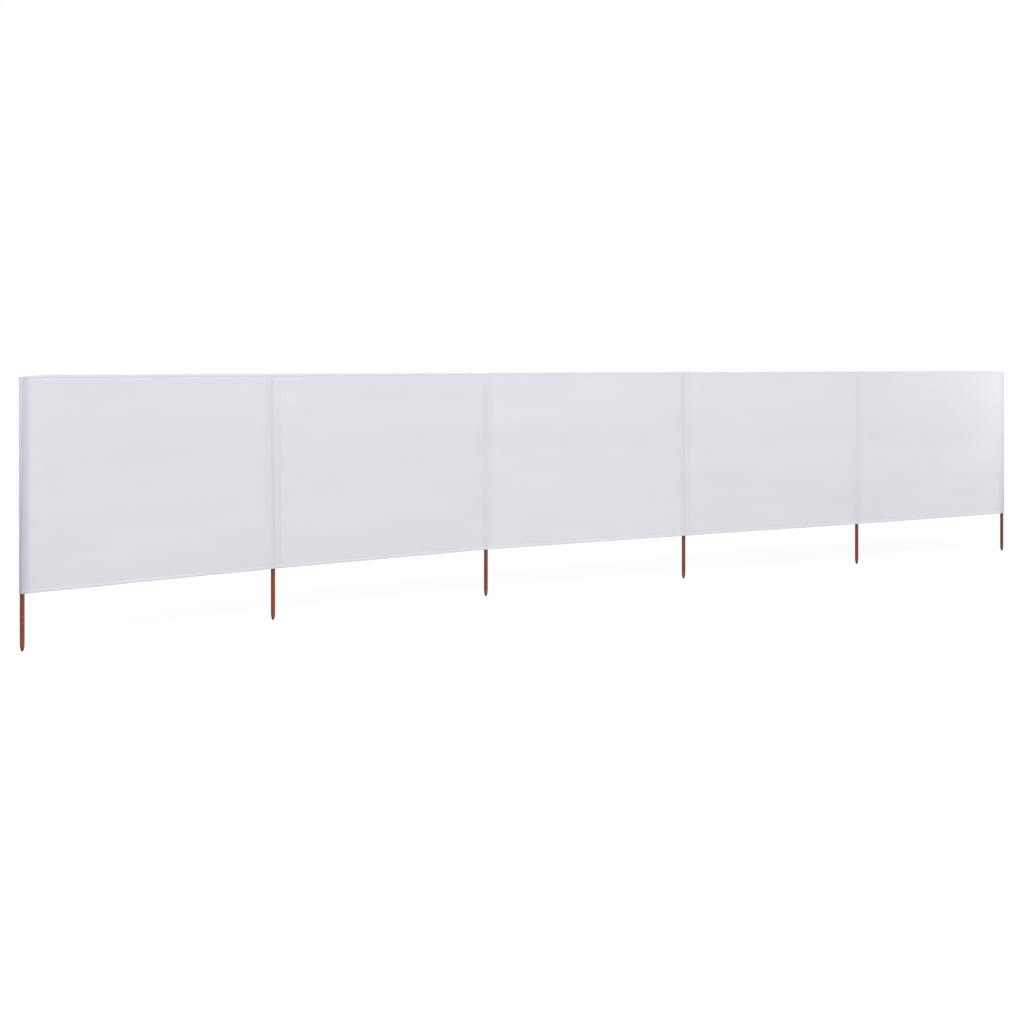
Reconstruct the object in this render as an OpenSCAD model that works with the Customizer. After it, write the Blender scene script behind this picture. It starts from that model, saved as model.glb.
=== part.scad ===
// Beach windbreak: a long low screen of white cloth in five bays, carried by six round wooden posts.
// Each post stands in a pocket sewn behind the cloth and is pushed into the sand by its tapered end.
// Millimetres. Origin on the blunt tip of the first post, X towards the last post, Z up.
// The front of the screen faces -Y, and the hems are folded to the back.

/* [Screen] */
// Distance between the centres of neighbouring posts
bay_width = 1200; // [600:10:1800]
// Height of the cloth from its bottom edge to its top edge
cloth_height = 800; // [500:10:1400]
// Thickness of one layer of cloth
cloth_thickness = 1; // [0.6:0.1:2]
// Turn of the screen at each of the four inner posts, in degrees
post_turns = [-3.5, -7, -1, 2]; // [-15:0.5:15]

/* [Hems] */
// Height of the top hem
top_hem_height = 15; // [8:1:40]
// Height of the bottom hem
bottom_hem_height = 15; // [8:1:40]

/* [Pockets] */
// Distance from a post's centre to the seam beside it
seam_reach = 34; // [26:1:60]
// Cloth that is sewn flat beyond the seam
seam_allowance = 8; // [4:1:20]
// Room between a post and the wall of its pocket
pocket_clearance = 1.5; // [1:0.5:6]
// Drop of a pocket's roof from the cloth to the back of the post
pocket_gable = 6; // [3:1:30]
// Height of the band that closes a pocket above its roof
closing_height = 3; // [2:0.5:12]

/* [Posts] */
// Diameter of a post
post_d = 18; // [12:0.5:26]
// Length of a post that shows below the cloth
spike_length = 211; // [120:1:400]
// Length of the tapered end
taper_length = 27; // [10:1:80]
// Diameter of the blunt tip
tip_d = 7; // [4:0.5:11]
// Chamfer round the top of a post
top_chamfer = 1.5; // [0.5:0.5:3]
// Gap between the top of a post and the roof that rests on it
seat_gap = 0.3; // [0.1:0.1:1]

/* [Hidden] */
$fn = 96;

cloth_colour = [0.89, 0.88, 0.91];
wood_colour = [0.54, 0.32, 0.24];

// Heights of the cloth
cloth_bottom = spike_length;
cloth_top = cloth_bottom + cloth_height;

// Plan of the screen: the turns give the bays' headings, and the end posts lie on the X axis
last_post = len(post_turns) + 1;
function total(values, count) = count <= 0 ? 0 : values[count - 1] + total(values, count - 1);
function turned_by(bay) = total(post_turns, bay);
function bay_vector(heading) = bay_width * [cos(heading), sin(heading)];
function walk(bays, start) = bays <= 0 ? [0, 0]
    : walk(bays - 1, start) + bay_vector(start + turned_by(bays - 1));
chord = walk(last_post, 0);
first_heading = -atan2(chord[1], chord[0]);
function bay_heading(bay) = first_heading + turned_by(bay);
function post_at(i) = walk(i, first_heading);
function pocket_heading(i) = i == 0 ? bay_heading(0)
    : i == last_post ? bay_heading(last_post - 1)
    : (bay_heading(i - 1) + bay_heading(i)) / 2;

// Cross-section of a pocket: straight cloth in front of the post, and a second layer round behind it
pocket_r = post_d / 2 + pocket_clearance;
pocket_outer_r = pocket_r + cloth_thickness;
seam_end = seam_reach + seam_allowance;
// Straight walls run this far inside the round, so that they meet it at a clean edge
wall_bite = 0.01;
function touch_angle(radius, seam_x, tail_back) = atan2(tail_back, seam_x)
    + acos((radius - wall_bite) / norm([seam_x, tail_back]));
function mitre(angle) = cloth_thickness * tan(angle / 2);

// Planes of the cloth in front of the posts, and of the layers behind it
cloth_front = wall_bite - pocket_outer_r;
cloth_back = cloth_front + cloth_thickness;
second_back = cloth_back + cloth_thickness;
third_back = second_back + cloth_thickness;
flank_angle = 90 - touch_angle(pocket_r, seam_reach, cloth_back);

// Roof that closes a pocket: it rises from the back of the post to the cloth
gable_apex = cloth_top - closing_height;
gable_slope = pocket_gable / (pocket_r - cloth_back);
gable_angle = atan(1 / gable_slope);
function roof_drop(across) = (across - cloth_back) * gable_slope;
post_r = post_d / 2;
shoulder_drop = max(roof_drop(post_r) - top_chamfer, roof_drop(post_r - top_chamfer));
post_top = gable_apex - shoulder_drop - seat_gap / sin(gable_angle);

// A point beside a post, along and across the run of its pocket
function beside_post(i, along, across) = post_at(i)
    + along * [cos(pocket_heading(i)), sin(pocket_heading(i))]
    + across * [-sin(pocket_heading(i)), cos(pocket_heading(i))];

// Sides on which a pocket is sewn to a bay: the end pockets have one
function sewn_sides(i) = i == 0 ? [1] : i == last_post ? [-1] : [-1, 1];

// Outline of a pocket in plan: straight in front, round behind the post, with a flat tail at each seam
module pocket_outline(i, radius, front, seam_x, tail_back, tail_x) {
    touch = touch_angle(radius, seam_x, tail_back);
    touch_r = radius - wall_bite;
    reach = max(tail_x, radius) + 1;
    intersection() {
        union() {
            circle(r = radius);
            for (side = sewn_sides(i))
                mirror([side < 0 ? 1 : 0, 0])
                    polygon([
                        touch_r * [cos(touch), sin(touch)], [seam_x, tail_back], [tail_x, tail_back],
                        [tail_x, front - 1], [0, front - 1]
                    ]);
        }
        translate([-reach, front])
            square([2 * reach, 2 * reach]);
    }
}

// Profile drawn across the screen, swept along the run of a pocket
module along_run(half_length) {
    rotate([90, 0, 90])
        translate([0, 0, -half_length])
            linear_extrude(2 * half_length)
                children();
}

// The hollow that a post stands in, under the roof of its pocket
module pocket_hollow(i) {
    below = cloth_bottom - cloth_thickness;
    ahead = cloth_front - 1;
    // The flanks run on past the seam, and the front of the hollow cuts them off there
    flank_foot = seam_reach + 1 / tan(flank_angle);
    intersection() {
        translate([0, 0, below])
            linear_extrude(cloth_height)
                pocket_outline(i, pocket_r, cloth_back, flank_foot, cloth_back - 1, flank_foot);
        along_run(seam_end)
            polygon([
                [ahead, below], [pocket_outer_r, below],
                [pocket_outer_r, gable_apex - roof_drop(pocket_outer_r)],
                [ahead, gable_apex - roof_drop(ahead)]
            ]);
    }
}

// The two layers of cloth round the hollow: apart below the roof, flat on each other above it
module pocket_walls(i) {
    ahead = cloth_front - 1;
    behind = pocket_outer_r + cloth_thickness;
    ridge_z = gable_apex + mitre(gable_angle);
    intersection() {
        translate([0, 0, cloth_bottom])
            linear_extrude(cloth_height)
                pocket_outline(i, pocket_outer_r, cloth_front,
                    seam_reach + mitre(flank_angle), second_back, seam_end);
        along_run(seam_end)
            polygon([
                [ahead, cloth_bottom], [behind, cloth_bottom],
                [behind, ridge_z - (behind - second_back) * gable_slope],
                [second_back, ridge_z], [second_back, cloth_top], [ahead, cloth_top]
            ]);
    }
}

// Hem folded to the back round a pocket's open mouth
module mouth_hem(i) {
    translate([0, 0, cloth_bottom])
        linear_extrude(bottom_hem_height)
            pocket_outline(i, pocket_outer_r + cloth_thickness, cloth_front,
                seam_reach + 2 * mitre(flank_angle), third_back, seam_end);
}

// Top hem on the flat tails beside a pocket
module tail_hems(i) {
    hem_start = seam_reach + 2 * mitre(flank_angle);
    for (side = sewn_sides(i))
        mirror([side < 0 ? 1 : 0, 0])
            translate([hem_start, cloth_back, cloth_top - top_hem_height])
                cube([seam_end - hem_start, third_back - cloth_back, top_hem_height]);
}

// A straight strip of one bay between two pockets, mitred to their seams
module bay_strip(bay, front, back, low, height) {
    next = bay + 1;
    translate([0, 0, low])
        linear_extrude(height)
            polygon([
                beside_post(bay, seam_end, front), beside_post(next, -seam_end, front),
                beside_post(next, -seam_end, back), beside_post(bay, seam_end, back)
            ]);
}

// Round wooden post with a blunt tapered end
module post(i) {
    color(wood_colour)
        translate(post_at(i))
            rotate_extrude()
                polygon([
                    [0, 0], [tip_d / 2, 0], [post_r, taper_length], [post_r, post_top - top_chamfer],
                    [post_r - top_chamfer, post_top], [0, post_top]
                ]);
}

// Sewn pocket round a post, open below and closed by its roof
module pocket(i) {
    color(cloth_colour)
        translate(post_at(i))
            rotate(pocket_heading(i)) {
                difference() {
                    union() {
                        pocket_walls(i);
                        mouth_hem(i);
                    }
                    pocket_hollow(i);
                }
                tail_hems(i);
            }
}

// Taut cloth of one bay, from seam to seam
module cloth_bay(bay) {
    color(cloth_colour)
        bay_strip(bay, cloth_front, cloth_back, cloth_bottom, cloth_height);
}

// Hem folded down behind the top edge of a bay
module top_hem(bay) {
    color(cloth_colour)
        bay_strip(bay, cloth_back, second_back, cloth_top - top_hem_height, top_hem_height);
}

// Hem folded up behind the bottom edge of a bay
module bottom_hem(bay) {
    color(cloth_colour)
        bay_strip(bay, cloth_back, second_back, cloth_bottom, bottom_hem_height);
}

post(0);  // post_1
post(1);  // post_2
post(2);  // post_3
post(3);  // post_4
post(4);  // post_5
post(5);  // post_6
pocket(0);  // pocket_1
pocket(1);  // pocket_2
pocket(2);  // pocket_3
pocket(3);  // pocket_4
pocket(4);  // pocket_5
pocket(5);  // pocket_6
cloth_bay(0);  // cloth_bay_1
cloth_bay(1);  // cloth_bay_2
cloth_bay(2);  // cloth_bay_3
cloth_bay(3);  // cloth_bay_4
cloth_bay(4);  // cloth_bay_5
top_hem(0);  // top_hem_1
top_hem(1);  // top_hem_2
top_hem(2);  // top_hem_3
top_hem(3);  // top_hem_4
top_hem(4);  // top_hem_5
bottom_hem(0);  // bottom_hem_1
bottom_hem(1);  // bottom_hem_2
bottom_hem(2);  // bottom_hem_3
bottom_hem(3);  // bottom_hem_4
bottom_hem(4);  // bottom_hem_5
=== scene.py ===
"""Dresses the beach windbreak: a long white cloth, sewn into pockets round six stained wooden posts.

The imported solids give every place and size. The cloth is one surface over the whole length of the
screen, and each piece is cut from it where the solids are divided.
"""

import logging
import math
from dataclasses import dataclass, field
from enum import Enum
from functools import partial
from typing import Callable, Sequence

import bpy
import numpy as np
from bpy.types import Material, Mesh, Node, NodeSocket, NodeTree, Object
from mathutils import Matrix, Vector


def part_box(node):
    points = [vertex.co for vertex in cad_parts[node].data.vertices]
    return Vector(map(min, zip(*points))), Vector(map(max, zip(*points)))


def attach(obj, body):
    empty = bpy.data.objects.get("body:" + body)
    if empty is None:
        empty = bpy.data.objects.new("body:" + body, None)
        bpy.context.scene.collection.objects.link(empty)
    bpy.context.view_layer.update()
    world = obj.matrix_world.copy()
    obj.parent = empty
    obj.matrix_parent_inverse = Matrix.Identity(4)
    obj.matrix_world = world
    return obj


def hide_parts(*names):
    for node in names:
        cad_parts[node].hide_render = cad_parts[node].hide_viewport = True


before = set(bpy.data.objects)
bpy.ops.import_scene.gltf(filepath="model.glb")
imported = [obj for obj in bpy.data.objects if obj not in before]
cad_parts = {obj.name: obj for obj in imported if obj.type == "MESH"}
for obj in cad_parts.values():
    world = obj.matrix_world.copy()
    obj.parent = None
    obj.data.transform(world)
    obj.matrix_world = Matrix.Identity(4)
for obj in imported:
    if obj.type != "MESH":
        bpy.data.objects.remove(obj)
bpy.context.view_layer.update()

LOG = logging.getLogger("windbreak")
BODY = "root"
POST_COUNT = 6
BAY_COUNT = POST_COUNT - 1

# Guards against rounding, in metres: for places along the run, and for the length of a normal
ROUNDING = 1e-9
SHORTEST = 1e-12

Array = np.ndarray
Colour = tuple[float, float, float, float]
Triple = tuple[float, float, float]
Pair = tuple[float, float]
Grid = Callable[[Array], Array]
Points = Array | Sequence[Triple]
Faces = Array | Sequence[tuple[int, ...]]
Inputs = dict[str | int, object]


class Slot(Enum):
    """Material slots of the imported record."""

    CLOTH = "white_cloth"
    WOOD = "stained_wood"


class Edge(Enum):
    """Long edge of the cloth that a hem is folded along."""

    TOP = 1
    BOTTOM = -1


class End(Enum):
    """Which end of the screen a pocket closes, if any."""

    LEFT = 1
    NONE = 0
    RIGHT = -1


def srgb(red: int, green: int, blue: int) -> Colour:
    """Turns a display colour into the linear colour that a shader takes.

    Args:
        red: Red from 0 to 255.
        green: Green from 0 to 255.
        blue: Blue from 0 to 255.

    Returns:
        Linear red, green, blue and an alpha of one.
    """
    shares = [channel / 255 for channel in (red, green, blue)]
    linear = [s / 12.92 if s <= 0.04045 else ((s + 0.055) / 1.055) ** 2.4 for s in shares]
    return (linear[0], linear[1], linear[2], 1.0)


def ease(share: Array) -> Array:
    """Rises smoothly from 0 to 1 as share does.

    Args:
        share: Values, cut to the range from 0 to 1.

    Returns:
        Eased values, flat at both ends.
    """
    cut = np.clip(share, 0.0, 1.0)
    return cut * cut * cut * (cut * (6.0 * cut - 15.0) + 10.0)


def hump(distance: Array, width: Array | float) -> Array:
    """Bell curve of height one and the given width."""
    return np.exp(-((distance / width) ** 2))


def outward(points: Array) -> Array:
    """Normals of a grid of points, on the side that faces out.

    Args:
        points: Grid of points, rows by columns by three.

    Returns:
        Unit normals in the same shape.
    """
    across, up = np.gradient(points, axis=1), np.gradient(points, axis=0)
    normal = np.cross(across, up)
    return normal / np.maximum(np.linalg.norm(normal, axis=2, keepdims=True), SHORTEST)


def flat_vectors(directions: Array) -> Array:
    """Directions of the plan as three-dimensional vectors."""
    return np.concatenate([directions, np.zeros((len(directions), 1))], axis=1)


def new_object(name: str, data: bpy.types.ID) -> Object:
    """Makes an object and links it to the scene.

    Args:
        name: Name of the object.
        data: Its mesh, light or camera.

    Returns:
        The new object, at the origin.
    """
    made = bpy.data.objects.new(name, data)
    bpy.context.scene.collection.objects.link(made)
    return made


def smooth_mesh(name: str, corners: Points, faces: Faces, values: dict[str, Sequence[float]],
                crease: float, finish: Material) -> Mesh:
    """Makes a smooth mesh with sharp creases.

    Args:
        name: Name of the mesh.
        corners: Its points.
        faces: Its faces, as numbers of points.
        values: Values at the points, by the name that the material reads.
        crease: Least angle of a sharp edge, in radians.
        finish: Material of the mesh.

    Returns:
        The new mesh.
    """
    mesh = bpy.data.meshes.new(name)
    mesh.from_pydata(corners, [], faces)
    for label, numbers in values.items():
        layer = mesh.attributes.new(label, "FLOAT", "POINT")
        layer.data.foreach_set("value", np.asarray(numbers, dtype=np.float32))
    mesh.polygons.foreach_set("use_smooth", np.ones(len(faces), dtype=bool))
    mesh.set_sharp_from_angle(angle=crease)
    mesh.materials.append(finish)
    mesh.update()
    return mesh


class SoftNoise:
    """Smooth seeded noise over a plane, between -1 and 1."""

    SIDE = 97

    def __init__(self, seed: int) -> None:
        """Draws the noise's lattice from the seed."""
        self.lattice = np.random.default_rng(seed).uniform(-1.0, 1.0, (self.SIDE, self.SIDE))

    def at(self, across: Array, up: Array) -> Array:
        """Reads the noise.

        Args:
            across: First coordinate, in cells.
            up: Second coordinate, in cells.

        Returns:
            Noise values, in the shape that both coordinates broadcast to.
        """
        across, up = np.broadcast_arrays(across, up)
        left, low = np.floor(across).astype(int), np.floor(up).astype(int)
        right_share, up_share = ease(across - left), ease(up - low)
        columns, rows, cells = left % (self.SIDE - 1), low % (self.SIDE - 1), self.lattice
        lower = cells[rows, columns] * (1 - right_share) + cells[rows, columns + 1] * right_share
        upper = cells[rows + 1, columns] * (1 - right_share) + cells[rows + 1, columns + 1] * right_share
        return lower * (1 - up_share) + upper * up_share


@dataclass(frozen=True)
class ClothCut:
    """Sizes of the sewn cloth, in metres, and how fine its meshes are."""

    thickness: float = 0.00055
    fold_radius: float = 0.00075
    hem_height: float = 0.015
    hem_stitch: float = 0.0125
    closing_stitch: float = 0.0017
    forward: float = 0.011
    seam: float = 0.034
    outer_stitch: float = 0.0395
    seam_end: float = 0.042
    seam_margin: float = 0.004
    seam_points: int = 160
    closing: float = 0.0025
    roof: float = 0.007
    roof_bow: float = 2.2
    roof_soft: float = 0.8
    wrap_radius: float = 0.0112
    bay_columns: int = 184
    pocket_columns: int = 44
    wrap_columns: int = 16
    middle_rows: int = 80
    fine_rows: int = 13
    fine_band: float = 0.026
    head_rows: int = 8
    roof_rows: int = 13
    roof_band: float = 0.0115

    @property
    def stack(self) -> float:
        """Depth of the two folded layers behind a hemmed edge."""
        return 2 * self.fold_radius

    @property
    def skin(self) -> float:
        """Distance from the middle of a layer to its faces."""
        return self.thickness / 2


@dataclass
class ScreenPlan:
    """Plan and heights of the screen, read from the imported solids."""

    posts: Array
    low: float
    high: float
    post_top: float
    post_radius: float
    headings: Array = field(init=False)
    pocket_headings: Array = field(init=False)
    bay: float = field(init=False)

    def __post_init__(self) -> None:
        """Works out the headings of bays and pockets from the posts' places."""
        steps = np.diff(self.posts, axis=0)
        self.bay = float(np.mean(np.linalg.norm(steps, axis=1)))
        self.headings = np.arctan2(steps[:, 1], steps[:, 0])
        before = np.concatenate([self.headings[:1], self.headings])
        after = np.concatenate([self.headings, self.headings[-1:]])
        self.pocket_headings = (before + after) / 2

    @classmethod
    def read(cls) -> "ScreenPlan":
        """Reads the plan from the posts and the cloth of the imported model.

        Returns:
            The plan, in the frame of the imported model.
        """
        boxes = [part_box(f"post_{number}") for number in range(1, POST_COUNT + 1)]
        posts = np.array([[(low.x + high.x) / 2, (low.y + high.y) / 2] for low, high in boxes])
        cloth_low, cloth_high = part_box("cloth_bay_1")
        post_low, post_high = boxes[0]
        return cls(posts, cloth_low.z, cloth_high.z, post_high.z, (post_high.x - post_low.x) / 2)

    def bay_heading(self, post: int, side: int) -> float:
        """Heading of the bay beside a post: side 1 is the one that follows it, -1 the one before."""
        bay = post if side > 0 else post - 1
        return float(self.headings[min(max(bay, 0), BAY_COUNT - 1)])


@dataclass(frozen=True)
class ShadeBand:
    """Band of painted shade at a post, standing for the dark post seen through the cloth and for the shaded
    flank of the pocket: edges in metres from the post, tones from 0 to 1.

    The seam's line is a painted shadow in the valley beside the seam. The heights at which the seam's line
    and the band itself fade out are shares of the cloth's height.
    """

    left_foot: float
    left_top: float
    right_foot: float
    right_top: float
    left_tone: float
    right_tone: float
    left_soft: float = 0.010
    right_soft: float = 0.010
    top_level: float = 1.0
    foot_level: float = 1.0
    level_power: float = 1.0
    seam_tone: float = 0.0
    seam_place: float = 0.029
    seam_width: float = 0.008
    seam_head: float = 0.6
    seam_fade: float = 0.3
    head: float = 1.05
    head_fade: float = 0.06

    def at(self, along: Array, share: Array) -> Array:
        """Tone of the painted shade.

        Args:
            along: Distance from the post's centre along the run.
            share: Height within the cloth, from 0 to 1.

        Returns:
            Share of painted shade.
        """
        rise = np.clip(share, 0.0, 1.0)
        left = self.left_foot + (self.left_top - self.left_foot) * rise
        right = self.right_foot + (self.right_top - self.right_foot) * rise
        begun = ease((along - left) / self.left_soft + 0.5)
        ended = ease((along - right) / self.right_soft + 0.5)
        across = np.clip((along - left) / (right - left), 0.0, 1.0)
        tone = self.left_tone + (self.right_tone - self.left_tone) * across
        level = self.top_level + (self.foot_level - self.top_level) * (1 - rise) ** self.level_power
        line = self.seam_tone * hump(along - self.seam_place, self.seam_width)
        seam = line * (1 - ease((rise - self.seam_head) / self.seam_fade))
        return (begun * (1 - ended) * tone * level + seam) * (1 - ease((rise - self.head) / self.head_fade))


@dataclass(frozen=True)
class PocketShape:
    """How the cloth lies over one post: sizes in metres."""

    ridge: float
    band: ShadeBand
    ridge_reach: float = 0.026
    ridge_power: float = 1.5
    back_crest: float = 0.0222
    lean: float = 0.0
    pull_left: float = 0.0008
    pull_right: float = 0.0008


# Painted shade at each post: the dark post seen through the cloth, the shaded flanks of the pocket and the
# shadow beside its seam, darker towards the foot at the ends
POCKET_SHAPES = (
    PocketShape(ridge=0.0014, pull_right=0.0016,
                band=ShadeBand(-0.017, -0.007, 0.030, 0.030, 0.80, 0.02, top_level=0.75, foot_level=1.4)),
    PocketShape(ridge=0.0018, lean=0.018, pull_right=0.0019, pull_left=0.0005,
                band=ShadeBand(-0.030, -0.050, 0.004, -0.009, 0.06, 0.34, left_soft=0.020, right_soft=0.007,
                               top_level=0.85, seam_tone=0.10)),
    PocketShape(ridge=0.0012, pull_left=0.0004,
                band=ShadeBand(-0.029, -0.029, 0.004, 0.006, 0.24, 0.12, left_soft=0.009, right_soft=0.020,
                               top_level=0.92, foot_level=0.98, head=0.92)),
    PocketShape(ridge=0.0018, lean=0.014, pull_right=0.0017, pull_left=0.0005,
                band=ShadeBand(-0.030, -0.034, 0.006, -0.008, 0.15, 0.34, left_soft=0.008, right_soft=0.008,
                               top_level=0.80, foot_level=0.95, seam_tone=0.09)),
    PocketShape(ridge=0.0012,
                band=ShadeBand(-0.022, -0.026, 0.010, 0.008, 0.14, 0.13, left_soft=0.009, right_soft=0.024,
                               top_level=0.80, foot_level=1.35, head=0.94)),
    PocketShape(ridge=0.0012, pull_left=0.0012,
                band=ShadeBand(-0.044, -0.040, 0.030, 0.030, 0.0, 1.35, top_level=0.38, level_power=2.4)),
)


@dataclass(frozen=True)
class SeamPull:
    """Valley and puckers beside the seams of a pocket: sizes in metres, lanes in cells of the noise."""

    head_share: float = 0.55
    inside: float = 0.012
    outside: float = 0.026
    pucker: float = 0.0009
    pucker_inside: float = 0.010
    pucker_outside: float = 0.05
    ripple: float = 0.034
    calm: float = 12.0
    post_step: float = 7.3
    side_step: float = 3.7
    lane: float = 11.0


@dataclass(frozen=True)
class HemRelief:
    """Groove, roll and puckers of a hem: sizes in metres, lanes in cells of the noise."""

    groove: float = 0.00042
    groove_width: float = 0.0022
    roll: float = 0.00050
    pucker: float = 0.00045
    pucker_width: float = 0.017
    short_ripple: float = 0.017
    short_lane: float = 31.5
    long_ripple: float = 0.041
    long_lane: float = 47.5
    long_share: float = 0.6
    hem_step: float = 9.0


@dataclass(frozen=True)
class BaySlack:
    """Billow and long flat waves of a bay: sizes in metres, tilts as rise over run."""

    billow: float = 0.004
    fade: float = 0.14
    long_wave: float = 0.0010
    long_cell: Pair = (0.62, 0.085)
    long_tilt: float = 0.03
    short_wave: float = 0.00045
    short_cell: Pair = (0.30, 0.042)
    short_tilt: float = -0.05
    least: float = 0.35
    calm: float = 5.0


@dataclass(frozen=True)
class EdgeDrift:
    """Rise and fall of the long edges: sizes in metres, lanes in cells of the noise."""

    roof_gap: float = 0.0006
    head_share: float = 0.14
    foot_share: float = 0.12
    seam_fade: float = 0.08
    long_wave: float = 0.0011
    long_cell: float = 0.21
    long_lane: float = 5.5
    short_wave: float = 0.0006
    short_cell: float = 0.07
    short_lane: float = 9.5
    foot_wave: float = 0.0007
    foot_cell: float = 0.17
    foot_lane: float = 19.5
    bump: float = 0.003
    bump_post: int = 3
    bump_beside: float = 0.026
    bump_width: float = 0.013
    left_drop: float = 0.0054
    left_reach: float = 0.105
    left_length: float = 0.12
    right_drop: float = 0.0052
    right_reach: float = 0.06
    right_length: float = 0.07


@dataclass(frozen=True)
class ThinCloth:
    """Painted shade of the dim room behind showing through the plain cloth, and how little of it at the
    doubled hems.
    """

    share: float = 0.07
    hem_hides: float = 0.75
    hem_uneven: float = 0.6
    hem_soft: float = 0.004
    cell: float = 0.16
    lane: float = 29.5
    hem_step: float = 4.0


@dataclass
class ClothSurface:
    """Middle surface of the screen's cloth, at any place along the run and at any height."""

    plan: ScreenPlan
    cut: ClothCut
    shapes: Sequence[PocketShape]
    seams: SeamPull = SeamPull()
    hems: HemRelief = HemRelief()
    bays: BaySlack = BaySlack()
    drift: EdgeDrift = EdgeDrift()
    thin: ThinCloth = ThinCloth()
    long_waves: SoftNoise = field(default_factory=lambda: SoftNoise(11))
    short_waves: SoftNoise = field(default_factory=lambda: SoftNoise(23))
    puckers: SoftNoise = field(default_factory=lambda: SoftNoise(37))
    edges: SoftNoise = field(default_factory=lambda: SoftNoise(53))

    def rows(self) -> Array:
        """Heights of the cloth's rows.

        Returns:
            Heights from the bottom up, close together at the hems and at the pockets' roofs.
        """
        cut = self.cut
        low, high = self.plan.low + cut.fold_radius, self.plan.high - cut.fold_radius
        foot = np.linspace(low, low + cut.fine_band, cut.fine_rows)
        middle = np.linspace(low + cut.fine_band, high - cut.fine_band, cut.middle_rows)
        head = np.linspace(high - cut.fine_band, high - cut.roof_band, cut.head_rows)
        roof = np.linspace(high - cut.roof_band, high, cut.roof_rows)
        return np.concatenate([foot, middle[1:-1], head, roof[1:]])

    def height_share(self, height: Array) -> Array:
        """Height within the cloth, from 0 at its bottom edge to 1 at its top edge."""
        return (height - self.plan.low) / (self.plan.high - self.plan.low)

    def fullness(self, height: Array) -> Array:
        """How far a pocket stands open.

        Args:
            height: Height above the ground.

        Returns:
            One along the post, falling under the roof to nothing in the band above it.
        """
        apex = self.plan.high - self.cut.closing
        rise = np.clip((height - apex + self.cut.roof) / self.cut.roof, 0.0, 1.0)
        return (1.0 - rise ** self.cut.roof_bow) ** self.cut.roof_soft

    def ridge(self, post: int, along: Array, height: Array) -> Array:
        """Low swelling of the cloth over a post, on a line that leans a little with the pocket.

        Args:
            post: Number of the post, from 0.
            along: Distance from the post's centre along the run.
            height: Height above the ground.

        Returns:
            Height of the swelling, which fades out at the seams.
        """
        shape = self.shapes[post]
        leaning = along + shape.lean * np.clip(self.height_share(height), 0.0, 1.0)
        inside = np.clip(1.0 - (leaning / shape.ridge_reach) ** 2, 0.0, None)
        return shape.ridge * self.fullness(height) * inside ** shape.ridge_power

    def pull(self, post: int, along: Array, height: Array) -> Array:
        """Valley that the seams beside a post draw into the cloth.

        Args:
            post: Number of the post, from 0.
            along: Distance from the post's centre along the run.
            height: Height above the ground.

        Returns:
            Depth towards the back.
        """
        sizes, shape, share = self.seams, self.shapes[post], self.height_share(height)
        depth = np.where(along > 0, shape.pull_right, shape.pull_left)
        depth = depth * (sizes.head_share + (1 - sizes.head_share) * (1 - share))
        beyond = np.abs(along) - self.cut.seam
        width = np.where(beyond > 0, sizes.outside, sizes.inside)
        lane = np.sign(along) * sizes.side_step + sizes.lane
        ripple = self.puckers.at(height / sizes.ripple + sizes.post_step * post, lane)
        outside = hump(np.clip(beyond, 0, None), sizes.pucker_outside)
        inside = hump(np.clip(-beyond, 0, None), sizes.pucker_inside)
        calm = ease(share * sizes.calm) * ease((1 - share) * sizes.calm)
        return depth * hump(beyond, width) + sizes.pucker * ripple * (outside * inside) * calm

    def hem_relief(self, run: Array, height: Array) -> Array:
        """Groove of the hem stitches, the soft roll of the hem and the small puckers beside it.

        Args:
            run: Distance along the screen.
            height: Height above the ground.

        Returns:
            Depth towards the back.
        """
        sizes, stitch = self.hems, self.cut.hem_stitch
        total = np.zeros(np.broadcast(run, height).shape)
        for number, edge in enumerate((self.plan.low, self.plan.high)):
            inward, step = np.abs(height - edge), sizes.hem_step * number
            groove = sizes.groove * hump(inward - stitch, sizes.groove_width)
            roll = sizes.roll * np.sin(math.pi * np.clip(inward / stitch, 0.0, 1.0))
            short = self.puckers.at(run / sizes.short_ripple, sizes.short_lane + step)
            long = self.puckers.at(run / sizes.long_ripple, sizes.long_lane + step)
            ripple = sizes.pucker * (short + sizes.long_share * long)
            total = total + groove - roll + ripple * hump(inward - stitch, sizes.pucker_width)
        return total

    def slack(self, run: Array, height: Array) -> Array:
        """Billow and long flat waves of the cloth between two posts.

        Args:
            run: Distance along the screen.
            height: Height above the ground.

        Returns:
            Depth towards the back, nothing at the seams.
        """
        sizes, bay = self.bays, self.plan.bay
        inside, width = np.mod(run, bay) - self.cut.seam_end, bay - 2 * self.cut.seam_end
        fade = ease(inside / sizes.fade) * ease((width - inside) / sizes.fade)
        share = self.height_share(height)
        belly = sizes.billow * np.sin(math.pi * np.clip(inside / width, 0, 1))
        belly = belly * np.sin(math.pi * np.clip(share, 0, 1))
        calm = sizes.least + (1 - sizes.least) * ease(share * sizes.calm) * ease((1 - share) * sizes.calm)
        waves = 0.0
        for noise, depth, (length, rise), tilt in (
            (self.long_waves, sizes.long_wave, sizes.long_cell, sizes.long_tilt),
            (self.short_waves, sizes.short_wave, sizes.short_cell, sizes.short_tilt),
        ):
            waves = waves + depth * noise.at(run / length, (height + tilt * run) / rise)
        return fade * (belly + calm * waves)

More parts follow.
